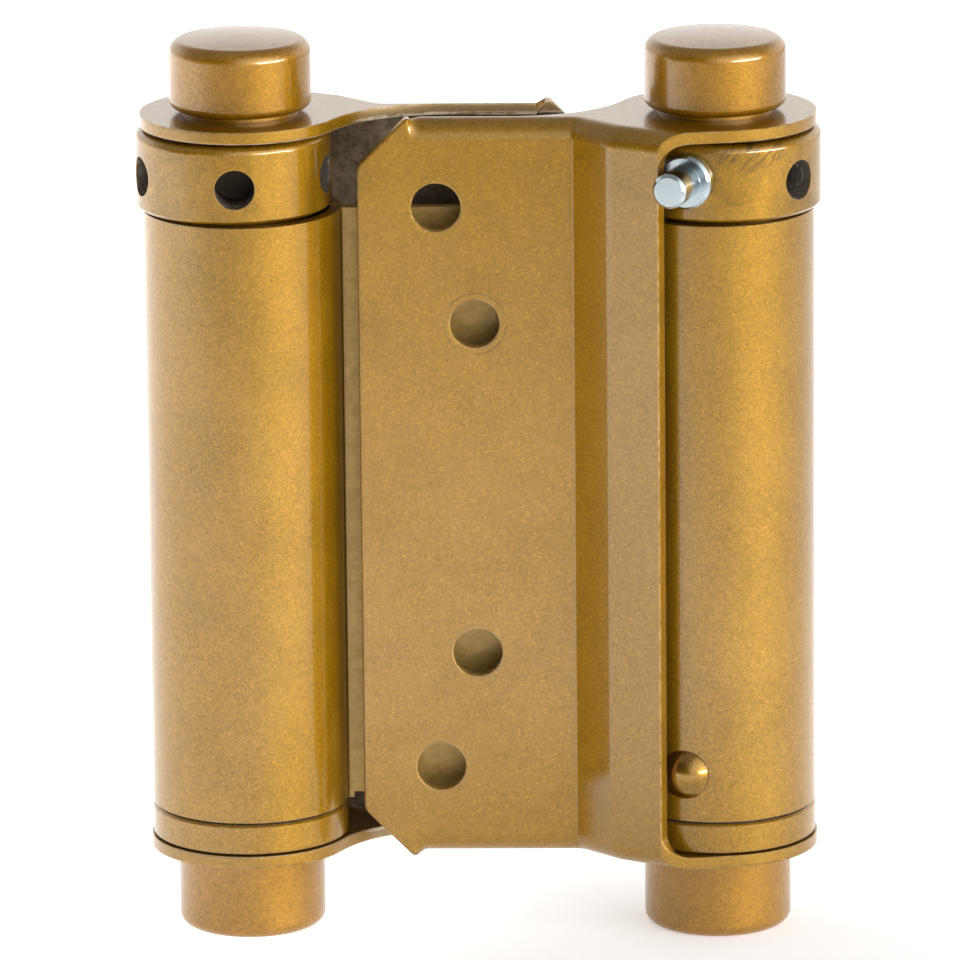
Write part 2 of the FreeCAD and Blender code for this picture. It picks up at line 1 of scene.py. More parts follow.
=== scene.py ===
"""Looks of a double action spring hinge: gold-bronze paint, bright zinc pins and soft studio light."""
import json
import logging
import math
from dataclasses import dataclass
from enum import Enum
from functools import cached_property
from typing import Callable, Dict, Optional, Tuple

import bmesh
import bpy
from mathutils import Matrix, Vector


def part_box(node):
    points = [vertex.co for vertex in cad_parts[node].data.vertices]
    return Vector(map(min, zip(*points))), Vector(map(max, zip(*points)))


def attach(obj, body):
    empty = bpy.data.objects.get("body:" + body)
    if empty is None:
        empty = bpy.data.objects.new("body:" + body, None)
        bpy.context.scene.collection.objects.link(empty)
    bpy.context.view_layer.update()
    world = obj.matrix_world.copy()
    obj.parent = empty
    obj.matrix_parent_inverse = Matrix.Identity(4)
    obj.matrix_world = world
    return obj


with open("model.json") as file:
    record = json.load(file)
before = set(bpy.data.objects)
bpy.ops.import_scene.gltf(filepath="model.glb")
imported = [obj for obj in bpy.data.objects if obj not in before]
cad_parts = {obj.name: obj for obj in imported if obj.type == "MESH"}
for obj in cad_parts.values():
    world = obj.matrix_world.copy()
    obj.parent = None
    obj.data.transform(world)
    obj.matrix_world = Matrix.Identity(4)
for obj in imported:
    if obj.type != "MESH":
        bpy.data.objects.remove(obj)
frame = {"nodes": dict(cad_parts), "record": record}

LOG = logging.getLogger("hinge")
MM = 0.001
AXIS_X = 23.5 * MM

Colour = Tuple[float, float, float]
Point = Tuple[float, float, float]
Span = Tuple[float, float]
Inputs = Dict[object, object]
Socket = bpy.types.NodeSocket
Sockets = bpy.types.bpy_prop_collection
FaceTest = Callable[[Vector, Vector], bool]


class Side(Enum):
    """The two sides of the hinge, by the first word of their nodes' names."""

    DOOR = "door"
    FRAME = "frame"

    @property
    def sign(self) -> float:
        """1 on the door side, and -1 on the frame side, which is turned half a turn."""
        return 1.0 if self is Side.DOOR else -1.0

    @property
    def body(self) -> str:
        """The body that carries this side's leaf."""
        return self.value + "_side"

    def node(self, piece: str) -> str:
        """The name of this side's node for a piece."""
        return self.value + "_" + piece


class Marks(Enum):
    """The marks that making and handling leave where the paint is thin or missing."""

    UPRIGHT = "upright scratches"
    SMEARED = "level smears"


class Mixed(Enum):
    """What a mix node mixes: the node's own word for it, and the numbers of its two inputs and its output."""

    COLOURS = ("RGBA", 6, 7, 2)
    NUMBERS = ("FLOAT", 2, 3, 0)


class Graph:
    """A node tree with short calls for adding and joining its nodes."""

    def __init__(self, tree: bpy.types.NodeTree) -> None:
        """Start on an emptied tree.

        Args:
            tree: The node tree to fill.
        """
        self.tree = tree
        tree.nodes.clear()

    def add(self, kind: str, inputs: Optional[Inputs] = None, **settings: object) -> bpy.types.Node:
        """Add a node, set it up and feed its inputs.

        Args:
            kind: The node's type name.
            inputs: Socket names or numbers, each with a value or with an output socket to join.
            settings: Attributes of the node.

        Returns:
            The new node.
        """
        node = self.tree.nodes.new(kind)
        for name, value in settings.items():
            setattr(node, name, value)
        for key, value in (inputs or {}).items():
            self.feed(node.inputs[key], value)
        return node

    def feed(self, socket: Socket, value: object) -> None:
        """Join an output socket to an input socket, or set the input's own value.

        Args:
            socket: The input socket.
            value: An output socket, a number, a vector or a colour.
        """
        if isinstance(value, bpy.types.NodeSocket):
            self.tree.links.new(value, socket)
        else:
            socket.default_value = value

    def math(self, operation: str, first: object, second: object = 0.0, clamp: bool = False) -> Socket:
        """Add a math node.

        Args:
            operation: The sum to do.
            first: The first number or socket.
            second: The second number or socket.
            clamp: Whether the result is kept between 0 and 1.

        Returns:
            The node's output socket.
        """
        node = self.add("ShaderNodeMath", {0: first, 1: second}, operation=operation, use_clamp=clamp)
        return node.outputs[0]

    def product(self, *values: object) -> Socket:
        """Multiply several numbers or sockets.

        Args:
            values: What is multiplied.

        Returns:
            The product's socket.
        """
        result = values[0]
        for value in values[1:]:
            result = self.math("MULTIPLY", result, value)
        return result

    def gap(self, first: object, second: object) -> Socket:
        """How far apart two numbers are.

        Args:
            first: A number or socket.
            second: A number or socket.

        Returns:
            The difference's socket, never below 0.
        """
        return self.math("ABSOLUTE", self.math("SUBTRACT", first, second))

    def reach(self, first: object, first_middle: float, second: object, second_middle: float) -> Socket:
        """How far a point is from a middle in two directions together.

        Args:
            first: The point's place in the first direction.
            first_middle: The middle's place in that direction.
            second: The point's place in the second direction.
            second_middle: The middle's place in that direction.

        Returns:
            The distance's socket.
        """
        across = self.math("SUBTRACT", first, first_middle)
        along = self.math("SUBTRACT", second, second_middle)
        square = self.math("ADD", self.product(across, across), self.product(along, along))
        return self.math("SQRT", square)

    def mixer(self, kind: Mixed, share: object, first: object, second: object) -> Socket:
        """Add a mix node.

        Args:
            kind: What is mixed.
            share: How much of the second value shows.
            first: A value or socket.
            second: A value or socket.

        Returns:
            The mixed value's socket.
        """
        word, first_input, second_input, output = kind.value
        inputs = {0: share, first_input: first, second_input: second}
        return self.add("ShaderNodeMix", inputs, data_type=word).outputs[output]

    def mix(self, share: object, first: object, second: object) -> Socket:
        """Mix two colours, with share of the second."""
        return self.mixer(Mixed.COLOURS, share, first, second)

    def blend(self, share: object, first: object, second: object) -> Socket:
        """Mix two numbers, with share of the second."""
        return self.mixer(Mixed.NUMBERS, share, first, second)

    def ramp(self, value: object, span: Span, start: float = 0.0, end: float = 1.0) -> Socket:
        """Map a range of numbers to another, smoothly and within its ends.

        Args:
            value: The number or socket to map.
            span: The values that give start and end.
            start: The result at and below the span.
            end: The result at and above the span.

        Returns:
            The mapped value's socket.
        """
        node = self.add("ShaderNodeMapRange", {0: value, 1: span[0], 2: span[1], 3: start, 4: end})
        node.interpolation_type = "SMOOTHSTEP"
        return node.outputs[0]

    def place(self) -> Socket:
        """A point's place in the object's own coordinates."""
        return self.add("ShaderNodeTexCoord").outputs["Object"]

    def axes(self, output: str) -> Tuple[Socket, Socket, Socket]:
        """The three parts of a texture coordinate.

        Args:
            output: The coordinate's name, such as Object or Normal.

        Returns:
            The X, Y and Z sockets.
        """
        place = self.add("ShaderNodeTexCoord").outputs[output]
        parts = self.add("ShaderNodeSeparateXYZ", {0: place})
        return parts.outputs[0], parts.outputs[1], parts.outputs[2]

    def noise(self, place: Socket, scale: object, detail: float, more: Optional[Inputs] = None) -> Socket:
        """Add a noise texture.

        Args:
            place: The coordinate it reads.
            scale: How fine it is.
            detail: How many finer layers it has.
            more: Other inputs of the node.

        Returns:
            The noise's value socket.
        """
        inputs = {"Vector": place, "Scale": scale, "Detail": detail, **(more or {})}
        return self.add("ShaderNodeTexNoise", inputs).outputs[0]

    def vector(self, operation: str, first: object, second: object) -> bpy.types.Node:
        """Add a vector math node.

        Args:
            operation: The sum to do.
            first: The first vector or socket.
            second: The second vector or socket.

        Returns:
            The node, whose output is its Vector or its Value.
        """
        return self.add("ShaderNodeVectorMath", {0: first, 1: second}, operation=operation)

    def towards(self, way: Point, direction: Socket) -> Socket:
        """How nearly a direction points a given way, as a cosine.

        Args:
            way: The way, of any length.
            direction: The direction's socket.

        Returns:
            The cosine's socket.
        """
        return self.vector("DOT_PRODUCT", direction, Vector(way).normalized()).outputs["Value"]

    def bump(self, height: Socket, normal: Socket, strength: float, distance: float) -> Socket:
        """Raise a surface by a height.

        Args:
            height: The height's socket.
            normal: The normal that the height stands on.
            strength: How strongly it shows.
            distance: How high a height of 1 is, in metres.

        Returns:
            The new normal's socket.
        """
        inputs = {"Strength": strength, "Distance": distance, "Height": height, "Normal": normal}
        return self.add("ShaderNodeBump", inputs).outputs[0]

    def group(self, tree: bpy.types.NodeTree, values: Dict[str, float]) -> Sockets:
        """Put a shader group into a material with its own values.

        Args:
            tree: The group.
            values: Input names with this material's values.

        Returns:
            The group's output sockets, by name.
        """
        node = self.add("ShaderNodeGroup", node_tree=tree)
        for name, value in values.items():
            node.inputs[name].default_value = value
        return node.outputs

    def surface(self, values: Inputs) -> None:
        """End a material in its shader.

        Args:
            values: Socket names of the shader, each with a value or with an output socket to join.
        """
        shader = self.add("ShaderNodeBsdfPrincipled", values)
        out = self.add("ShaderNodeOutputMaterial")
        self.feed(out.inputs[0], shader.outputs[0])


@dataclass
class Effects:
    """Shader groups that more than one finish uses, each built once, when it is first asked for."""

    cloud_scale: float = 0.22
    cloud_share: float = 0.3
    mottle_scale: float = 110.0
    smudge_scale: float = 190.0
    smudge_span: Span = (0.42, 0.68)
    peel_scale: float = 900.0
    grain_height: float = 0.2
    dot_rim: Span = (0.6, 1.0)
    edge_likeness: Span = (0.8, 0.97)
    edge_scale: float = 900.0
    edge_breaks: Span = (0.36, 0.6)
    scratch_scale: Point = (2600.0, 2600.0, 130.0)
    scratch_span: Span = (0.52, 0.72)
    smear_turn: Point = (0.0, 0.35, 0.0)
    smear_scale: Point = (700.0, 900.0, 1000.0)
    smear_span: Span = (0.34, 0.66)

    def begin(self, name: str, inputs: Dict[str, float],
              outputs: Dict[str, str]) -> Tuple[Graph, Sockets, Sockets]:
        """Begin a group with named inputs and outputs.

        Args:
            name: The group's name.
            inputs: Input names with their usual numbers.
            outputs: Output names with their kinds of socket.

        Returns:
            The group's graph, the sockets it is given and the sockets it feeds.
        """
        tree = bpy.data.node_groups.new(name, "ShaderNodeTree")
        for label, value in inputs.items():
            socket = tree.interface.new_socket(label, in_out="INPUT", socket_type="NodeSocketFloat")
            socket.default_value = value
        for label, kind in outputs.items():
            tree.interface.new_socket(label, in_out="OUTPUT", socket_type="NodeSocket" + kind)
        graph = Graph(tree)
        return graph, graph.add("NodeGroupInput").outputs, graph.add("NodeGroupOutput").inputs

    @cached_property
    def flake(self) -> bpy.types.NodeTree:
        """Metal flake in paint: a tone and a rare glint for each grain, mottle, smudges and a height.

        Returns:
            The group.
        """
        kinds = {"Grain": "Float", "Glint": "Float", "Mottle": "Float", "Smudge": "Float", "Height": "Float"}
        graph, given, out = self.begin("flake", {"Scale": 8000.0, "Glints": 0.03}, kinds)
        place = graph.place()
        cells = graph.add("ShaderNodeTexVoronoi", {"Vector": place, "Scale": given["Scale"]})
        tones = graph.add("ShaderNodeSeparateColor", {"Color": cells.outputs["Color"]}).outputs
        cloud = graph.noise(place, graph.math("MULTIPLY", given["Scale"], self.cloud_scale), 2.0)
        patches = graph.noise(place, self.smudge_scale, 6.0, {"Roughness": 0.62, "Distortion": 0.8})
        peel = graph.noise(place, self.peel_scale, 2.0)
        raised = graph.math("MULTIPLY", tones[2], self.grain_height)
        graph.feed(out["Grain"], graph.blend(self.cloud_share, tones[0], cloud))
        graph.feed(out["Glint"], graph.math("LESS_THAN", tones[1], given["Glints"]))
        graph.feed(out["Mottle"], graph.noise(place, self.mottle_scale, 3.0))
        graph.feed(out["Smudge"], graph.ramp(patches, self.smudge_span))
        graph.feed(out["Height"], graph.math("ADD", raised, peel))
        return graph.tree

    @cached_property
    def specks(self) -> bpy.types.NodeTree:
        """Small pits and dust in a coat: a mask of sparse dots.

        Returns:
            The group.
        """
        inputs = {"Scale": 420.0, "Share": 0.25, "Size": 0.06}
        graph, given, out = self.begin("specks", inputs, {"Mask": "Float"})
        cells = graph.add("ShaderNodeTexVoronoi", {"Vector": graph.place(), "Scale": given["Scale"]})
        pick = graph.add("ShaderNodeSeparateColor", {"Color": cells.outputs["Color"]}).outputs[1]
        chosen = graph.math("LESS_THAN", pick, given["Share"])
        near = graph.math("DIVIDE", cells.outputs["Distance"], given["Size"])
        dot = graph.ramp(near, self.dot_rim, 1.0, 0.0)
        graph.feed(out["Mask"], graph.math("MULTIPLY", dot, chosen))
        return graph.tree

    @cached_property
    def soft_edges(self) -> bpy.types.NodeTree:
        """Edges that are a little rounded: the rounded normal, and a broken mask along the edges.

        Returns:
            The group.
        """
        outputs = {"Normal": "Vector", "Mask": "Float"}
        graph, given, out = self.begin("soft_edges", {"Radius": 0.2 * MM}, outputs)
        rounded = graph.add("ShaderNodeBevel", {"Radius": given["Radius"]}, samples=5).outputs[0]
        plain = graph.add("ShaderNodeNewGeometry").outputs["True Normal"]
        likeness = graph.vector("DOT_PRODUCT", rounded, plain).outputs["Value"]
        turned = graph.ramp(likeness, self.edge_likeness, 1.0, 0.0)
        broken = graph.ramp(graph.noise(graph.place(), self.edge_scale, 4.0), self.edge_breaks)
        graph.feed(out["Normal"], rounded)
        graph.feed(out["Mask"], graph.math("MULTIPLY", turned, broken))
        return graph.tree

    @cached_property
    def scratches(self) -> bpy.types.NodeTree:
        """Fine upright scratches: a mask of broken lines along Z.

        Returns:
            The group.
        """
        graph, given, out = self.begin("scratches", {"Fineness": 1.0}, {"Mask": "Float"})
        drawn = graph.add("ShaderNodeMapping", {"Vector": graph.place(), "Scale": self.scratch_scale})
        lines = graph.noise(drawn.outputs[0], given["Fineness"], 3.0)
        graph.feed(out["Mask"], graph.ramp(lines, self.scratch_span))
        return graph.tree

    @cached_property
    def smears(self) -> bpy.types.NodeTree:
        """Rubbed, smeared film: a soft mask of patches drawn out along X.

        Returns:
            The group.
        """
        graph, given, out = self.begin("smears", {"Fineness": 1.0}, {"Mask": "Float"})
        drawn = graph.add("ShaderNodeMapping", {
            "Vector": graph.place(), "Rotation": self.smear_turn, "Scale": self.smear_scale})
        rubbed = {"Roughness": 0.72, "Distortion": 0.3}
        patches = graph.noise(drawn.outputs[0], given["Fineness"], 7.0, rubbed)
        graph.feed(out["Mask"], graph.ramp(patches, self.smear_span))
        return graph.tree

    def marks(self, kind: Marks) -> bpy.types.NodeTree:
        """The group that draws a kind of marks."""
        return self.smears if kind is Marks.SMEARED else self.scratches


EFFECTS = Effects()
MOTTLE = (0.3, 0.7)
# Near-black tone that painted shade darkens bare films towards in deep places.
PAINTED_SHADE_TONE = (0.040, 0.032, 0.022)
Mask = Callable[[Graph], Socket]


def opaque(colour: Colour) -> Tuple[float, float, float, float]:
    """A colour with full cover."""
    return (*colour, 1.0)


def new_material(name: str) -> Tuple[bpy.types.Material, Graph]:
    """Begin a material.

    Args:
        name: The material's name.

    Returns:
        The material, and the graph of its nodes.
    """
    material = bpy.data.materials.new(name)
    material.use_nodes = True
    return material, Graph(material.node_tree)


@dataclass(frozen=True)
class BareFinish:
    """What shows where the paint doesn't reach: a metal or a dull film."""

    light: Colour
    deep: Colour
    metallic: float
    roughness: float
    marks: Marks


BARE_STEEL = BareFinish((0.62, 0.56, 0.47), (0.24, 0.21, 0.17), 0.6, 0.36, Marks.UPRIGHT)
DULL_INSIDE = BareFinish((0.62, 0.49, 0.35), (0.30, 0.235, 0.165), 0.3, 0.58, Marks.SMEARED)
# The web's worn film is lighter than wear alone makes it: painted light for the narrow trench beside the
# barrel, which lies in shade.
WORN_WEB_WITH_PAINTED_LIGHT = BareFinish((0.66, 0.445, 0.155), (0.50, 0.325, 0.100), 0.35, 0.45, Marks.SMEARED)


@dataclass(frozen=True)
class GoldPaint:
    """Semi-gloss gold-bronze paint with metal flake under a thin clear skin."""

    name: str
    tone: Colour = (0.305, 0.155, 0.003)
    worn_and_highlight: Colour = (0.72, 0.48, 0.19)
    # Tone of pale edges: rubbed-bare metal and painted highlight.
    pale: Colour = (0.98, 0.83, 0.60)
    speck: Colour = (0.07, 0.035, 0.006)
    flake_scale: float = 7200.0
    spread: float = 0.30
    mottle: float = 0.1
    glints: float = 0.025
    glint_share: float = 0.6
    glint_shade: float = 1.75
    smudge: float = 0.12
    smudge_shade: float = 0.35
    pits: float = 0.2
    pit_scale: float = 420.0
    pit_size: float = 0.05
    pit_share: float = 0.8
    metallic: float = 0.65
    pale_metallic: float = 0.1
    roughness: float = 0.45
    roughness_drop: float = 0.03
    roughness_rise: float = 0.04
    specular: float = 0.1
    coat_low: float = 0.6
    coat_high: float = 1.0
    coat_roughness: float = 0.09
    coat_ior: float = 1.72
    edge_radius: float = 0.2 * MM
    edge_wear_and_highlight: float = 0.35
    bump_strength: float = 0.1
    bump_distance: float = 0.04 * MM

    def shade(self, factor: float) -> Tuple[float, float, float, float]:
        """The tone made lighter or darker by a factor."""
        return opaque((self.tone[0] * factor, self.tone[1] * factor, self.tone[2] * factor))

    def colour(self, graph: Graph, flake: Sockets, share: Socket, edges: Socket) -> Socket:
        """Colour the paint with its grain, glints, smudges, pits, and edges lightened partly by wear and
        partly as painted highlight.

        Args:
            graph: The material's graph.
            flake: The flake's sockets.
            share: How light each grain is, from 0 to 1.
            edges: The mask of the edges.

        Returns:
            The colour's socket.
        """
        pits = graph.group(EFFECTS.specks, {
            "Scale": self.pit_scale, "Share": self.pits, "Size": self.pit_size})
        colour = graph.mix(share, self.shade(1.0 - self.spread), self.shade(1.0 + self.spread))
        # The last layer lightens the edges: wear in part, painted highlight on their rounding in part.
        layers = ((flake["Glint"], self.glint_share, self.shade(self.glint_shade)),
                  (flake["Smudge"], self.smudge, self.shade(self.smudge_shade)),
                  (pits["Mask"], self.pit_share, opaque(self.speck)),
                  (edges, self.edge_wear_and_highlight, opaque(self.worn_and_highlight)))
        for mask, strength, tint in layers:
            colour = graph.mix(graph.math("MULTIPLY", mask, strength), colour, tint)
        return colour

    def build(self, bare: Optional[Mask] = None, under: BareFinish = BARE_STEEL, painted_shade: Optional[Mask] = None,
              ripple: Optional[Mask] = None, darkening: Optional[Mask] = None,
              rubbed: Optional[Mask] = None) -> bpy.types.Material:
        """Make the material.

        Args:
            bare: Makes the mask of where the paint doesn't reach.
            under: What shows there.
            painted_shade: Makes how much of the bare tone is left where painted shade darkens deep places
                towards a near-black tone.
            ripple: Makes the height of any sags, wrinkles and marks in the paint.
            darkening: Makes the mask of where the tone is darkened towards the speck colour.
            rubbed: Makes the mask of edges made pale: rubbed bare in part, and painted highlight in part.

        Returns:
            The material.
        """
        material, graph = new_material(self.name)
        flake = graph.group(EFFECTS.flake, {"Scale": self.flake_scale, "Glints": self.glints})
        edges = graph.group(EFFECTS.soft_edges, {"Radius": self.edge_radius})
        slow = graph.ramp(flake["Mottle"], MOTTLE, -self.mottle, self.mottle)
        share = graph.math("ADD", flake["Grain"], slow, clamp=True)
        colour = self.colour(graph, flake, share, edges["Mask"])
        metallic: object = self.metallic
        # Darkening towards the speck colour: painted shade in the collar's wrinkle hollows, and the darkened
        # punch ring on the leaves.
        if darkening is not None:
            colour = graph.mix(darkening(graph), colour, opaque(self.speck))
        # Pale edges: rubbed-bare metal in part, painted highlight on the lips' sheared edges in part.
        if rubbed is not None:
            bright = rubbed(graph)
            colour = graph.mix(bright, colour, opaque(self.pale))
            metallic = graph.blend(bright, self.metallic, self.pale_metallic)
        smoothest = self.roughness - self.roughness_drop
        rough = graph.ramp(flake["Mottle"], MOTTLE, smoothest, self.roughness + self.roughness_rise)
        coat = graph.blend(share, self.coat_low, self.coat_high)
        height = flake["Height"]
        if ripple is not None:
            height = graph.math("ADD", height, ripple(graph))
        values: Inputs = {
            "Base Color": colour, "Metallic": metallic, "Roughness": rough, "Coat Weight": coat,
            "Normal": graph.bump(height, edges["Normal"], self.bump_strength, self.bump_distance),
            "Specular IOR Level": self.specular, "Coat Roughness": self.coat_roughness,
            "Coat IOR": self.coat_ior}
        if bare is not None:
            mask = bare(graph)
            marks = graph.group(EFFECTS.marks(under.marks), {"Fineness": 1.0})
            film = graph.mix(marks["Mask"], opaque(under.deep), opaque(under.light))
            # Painted shade: deep places of the bare film darken towards a near-black tone.
            if painted_shade is not None:
                film = graph.mix(painted_shade(graph), opaque(PAINTED_SHADE_TONE), film)
            values["Base Color"] = graph.mix(mask, colour, film)
            values["Metallic"] = graph.blend(mask, metallic, under.metallic)
            values["Roughness"] = graph.blend(mask, rough, under.roughness)
            values["Coat Weight"] = graph.math("MULTIPLY", graph.math("SUBTRACT", 1.0, mask), coat)
        graph.surface(values)
        return material


@dataclass(frozen=True)
class PlainMetal:
    """Bare or plated metal with fine drawn grain."""

    name: str
    light: Colour
    deep: Colour
    roughness: float
    roughness_drop: float = 0.05
    roughness_rise: float = 0.07
    flake_scale: float = 3000.0
    scratch_fineness: float = 1.6
    edge_radius: float = 0.12 * MM
    bump_strength: float = 0.15
    bump_distance: float = 0.03 * MM

    def build(self) -> bpy.types.Material:
        """Make the material.

        Returns:
            The material.
        """
        material, graph = new_material(self.name)
        flake = graph.group(EFFECTS.flake, {"Scale": self.flake_scale, "Glints": 0.0})
        scratches = graph.group(EFFECTS.scratches, {"Fineness": self.scratch_fineness})
        edges = graph.group(EFFECTS.soft_edges, {"Radius": self.edge_radius})
        share = graph.math("MAXIMUM", flake["Mottle"], scratches["Mask"])
        smoothest = self.roughness - self.roughness_drop
        graph.surface({
            "Base Color": graph.mix(share, opaque(self.deep), opaque(self.light)), "Metallic": 1.0,
            "Roughness": graph.ramp(flake["Mottle"], MOTTLE, smoothest, self.roughness + self.roughness_rise),
            "Normal": graph.bump(flake["Height"], edges["Normal"], self.bump_strength, self.bump_distance)})
        return material


# The caps' paint is a little more saturated than the leaves': painted shade for the duller reflections on the
# caps' tops, which the bottom caps and the nibs share.
SHADED_CAP_PAINT = GoldPaint("shaded_cap_paint", tone=(0.312, 0.147, 0.002), coat_roughness=0.14)
RIVET_PAINT = GoldPaint("rivet_paint", roughness=0.3, coat_roughness=0.05, metallic=0.95)
BRIGHT_ZINC = PlainMetal("bright_zinc", (0.60, 0.68, 0.71), (0.30, 0.34, 0.36), 0.13)
DRAWN_STEEL = PlainMetal("drawn_steel", (0.45, 0.45, 0.46), (0.25, 0.25, 0.26), 0.38)


def dress(node: str, material: bpy.types.Material) -> None:
    """Give a solid's object one material.

    Args:
        node: The node's name.
        material: The material it takes.
    """
    slots = frame["nodes"][node].data.materials
    slots.clear()
    slots.append(material)
    LOG.info("dressed %s in %s", node, material.name)


@dataclass
class Leaf:
    """One stamped leaf: painted outside, dull inside its plate and wall."""

    side: Side
    edge_radius: float = 0.4 * MM
    edge_wear_and_highlight: float = 0.6
    grain_spread: float = 0.24
    inside_margin: float = 1.35 * MM
    inside_turn: Span = (0.3, 0.6)
    # Where the painted shade behind the plate begins and ends, and how much of the inside's tone it leaves.
    shade_reach: Span = (12.0 * MM, 19.0 * MM)
    shade_left: float = 0.2
    ring_radius: float = 3.1 * MM
    ring_width: float = 0.16 * MM
    ring_scale: float = 330.0
    ring_breaks: Span = (0.44, 0.56)
    ring_height: float = -14.0
    ring_dark_share: float = 0.45
    edge_turn: Span = (0.5, 0.8)
    # The torn lines and the thin paint also carry painted highlight and painted light on the lip's end face.
    upper_tear_highlight: Span = (0.1 * MM, 0.4 * MM)
    lower_tear_highlight: Span = (0.9 * MM, 1.15 * MM)
    straight_lip: Span = (10.0 * MM, 13.0 * MM)
    tear_scale: Point = (500.0, 500.0, 2600.0)
    tear_breaks: Span = (0.43, 0.54)
    tear_share: float = 0.8
    thin_paint_and_light: float = 0.25

    def punch_ring(self, graph: Graph) -> Socket:
        """The mask of the faint, broken ring that the punch left round the upper inner screw hole.

        Args:
            graph: The material's graph.

        Returns:
            The mask's socket.
        """
        name = self.side.node("inner_screws")
        mount = next(item for item in frame["record"]["mounts"] if item["name"] == name)
        x, _, middle = mount["pos_m"]
        z = middle + mount["dims"]["spacing_y_mm"] * MM / 2
        across, _, height = graph.axes("Object")
        off_line = graph.gap(graph.reach(across, x, height, z), self.ring_radius)
        line = graph.ramp(off_line, (0.0, self.ring_width), 1.0, 0.0)
        noise = graph.noise(graph.place(), self.ring_scale, 2.0)
        return graph.product(line, graph.ramp(noise, self.ring_breaks))

    def ring_groove(self, graph: Graph) -> Socket:
        """The height of the punch's ring, which is pressed into the plate."""
        return graph.math("MULTIPLY", self.punch_ring(graph), self.ring_height)

    def ring_darkening(self, graph: Graph) -> Socket:
        """The mask that darkens the punch's ring."""
        return graph.math("MULTIPLY", self.punch_ring(graph), self.ring_dark_share)

    def from_axis(self, graph: Graph) -> Socket:
        """How far a point is from its spindle axis along the plate."""
        return graph.gap(graph.axes("Object")[0], self.side.sign * AXIS_X)

    def inside_shade(self, graph: Graph) -> Socket:
        """How much of the inside's tone shows: plain near the wall, darkened by painted shade behind the
        plate.
        """
        return graph.ramp(self.from_axis(graph), self.shade_reach, 1.0, self.shade_left)

    def facing_in(self, graph: Graph) -> Socket:
        """How squarely a face looks towards the leaf's inside."""
        return graph.math("MULTIPLY", graph.axes("Normal")[1], self.side.sign)

    def inside(self, graph: Graph) -> Socket:
        """The mask of the plate's and the wall's inner faces.

        Args:
            graph: The material's graph.

        Returns:
            The mask's socket.
        """
        low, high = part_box(self.side.node("leaf"))
        height = graph.axes("Object")[2]
        above = graph.math("GREATER_THAN", height, low.z + self.inside_margin)
        below = graph.math("LESS_THAN", height, high.z - self.inside_margin)
        return graph.product(graph.ramp(self.facing_in(graph), self.inside_turn), above, below)

    def sheared_edge_highlight(self, graph: Graph) -> Socket:
        """The mask of the lips' sheared edges: thin paint and two torn lines that it hardly covers, lightened
        also as painted highlight along both lines.

        Args:
            graph: The material's graph.

        Returns:
            The mask's socket.
        """
        low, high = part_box(self.side.node("leaf"))
        from_middle = graph.gap(graph.axes("Object")[2], (low.z + high.z) / 2)
        from_end = graph.math("SUBTRACT", (high.z - low.z) / 2, from_middle)
        outer = graph.math("LESS_THAN", from_end, self.inside_margin)
        upper_line = graph.ramp(from_end, self.upper_tear_highlight, 1.0, 0.0)
        lines = graph.math("ADD", upper_line, graph.ramp(from_end, self.lower_tear_highlight))
        drawn = graph.add("ShaderNodeMapping", {"Vector": graph.place(), "Scale": self.tear_scale})
        torn = graph.noise(drawn.outputs[0], 1.0, 4.0, {"Roughness": 0.7})
        broken = graph.math("MULTIPLY", lines, graph.ramp(torn, self.tear_breaks))
        bare = graph.math("ADD", graph.math("MULTIPLY", broken, self.tear_share), self.thin_paint_and_light, clamp=True)
        straight = graph.ramp(self.from_axis(graph), self.straight_lip)
        return graph.product(graph.ramp(self.facing_in(graph), self.edge_turn), outer, straight, bare)

    def dress(self) -> None:
        """Give the leaf its paint."""
        paint = GoldPaint(self.side.node("leaf_paint"), edge_radius=self.edge_radius,
                          edge_wear_and_highlight=self.edge_wear_and_highlight, spread=self.grain_spread)
        dress(self.side.node("leaf"), paint.build(
            self.inside, DULL_INSIDE, self.inside_shade, self.ring_groove, self.ring_darkening, self.sheared_edge_highlight))


@dataclass
class BarrelWeb:
    """The rolled sheet between the spindles, with its plugs and rivets."""

    flat_half: float = 13.4 * MM
    flat_fade: float = 0.4 * MM
    flat_share: float = 0.8
    flange: float = 2.95 * MM
    flange_gap: float = 0.02 * MM

    def flat(self, graph: Graph) -> Socket:
        """The mask of the flat web between the barrels, where the paint is thin and rubbed and its film is
        lightened as painted light.

        Args:
            graph: The material's graph.

        Returns:
            The mask's socket.
        """
        across = graph.math("ABSOLUTE", graph.axes("Object")[0])
        fade = (self.flat_half - self.flat_fade, self.flat_half + self.flat_fade)
        return graph.ramp(across, fade, self.flat_share, 0.0)

    def spigot(self, side: Side) -> Mask:
        """What makes the mask of a plug's bare spigot, above its flange.

        Args:
            side: The plug's side.

        Returns:
            The function that makes the mask.
        """
        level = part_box(side.node("bottom_plug"))[0].z + self.flange - self.flange_gap
        return lambda graph: graph.math("GREATER_THAN", graph.axes("Object")[2], level)

    def dress(self) -> None:
        """Give the web, the plugs and the rivets their paint."""
        dress("centre_web", GoldPaint("barrel_paint").build(self.flat, WORN_WEB_WITH_PAINTED_LIGHT))
        rivet = RIVET_PAINT.build()
        for side in Side:
            dress(side.node("plug_rivet"), rivet)
            dress(side.node("bottom_plug"), GoldPaint(side.node("plug_paint")).build(self.spigot(side)))


@dataclass
class SpindleSet:
    """A spindle with its two caps."""

    side: Side

    def dress(self, paint: bpy.types.Material, steel: bpy.types.Material) -> None:
        """Give the caps their paint and the spindle its steel.

        Args:
            paint: The caps' finish.
            steel: The spindle's finish.
        """
        dress(self.side.node("top_cap"), paint)
        dress(self.side.node("bottom_cap"), paint)
        dress(self.side.node("spindle"), steel)


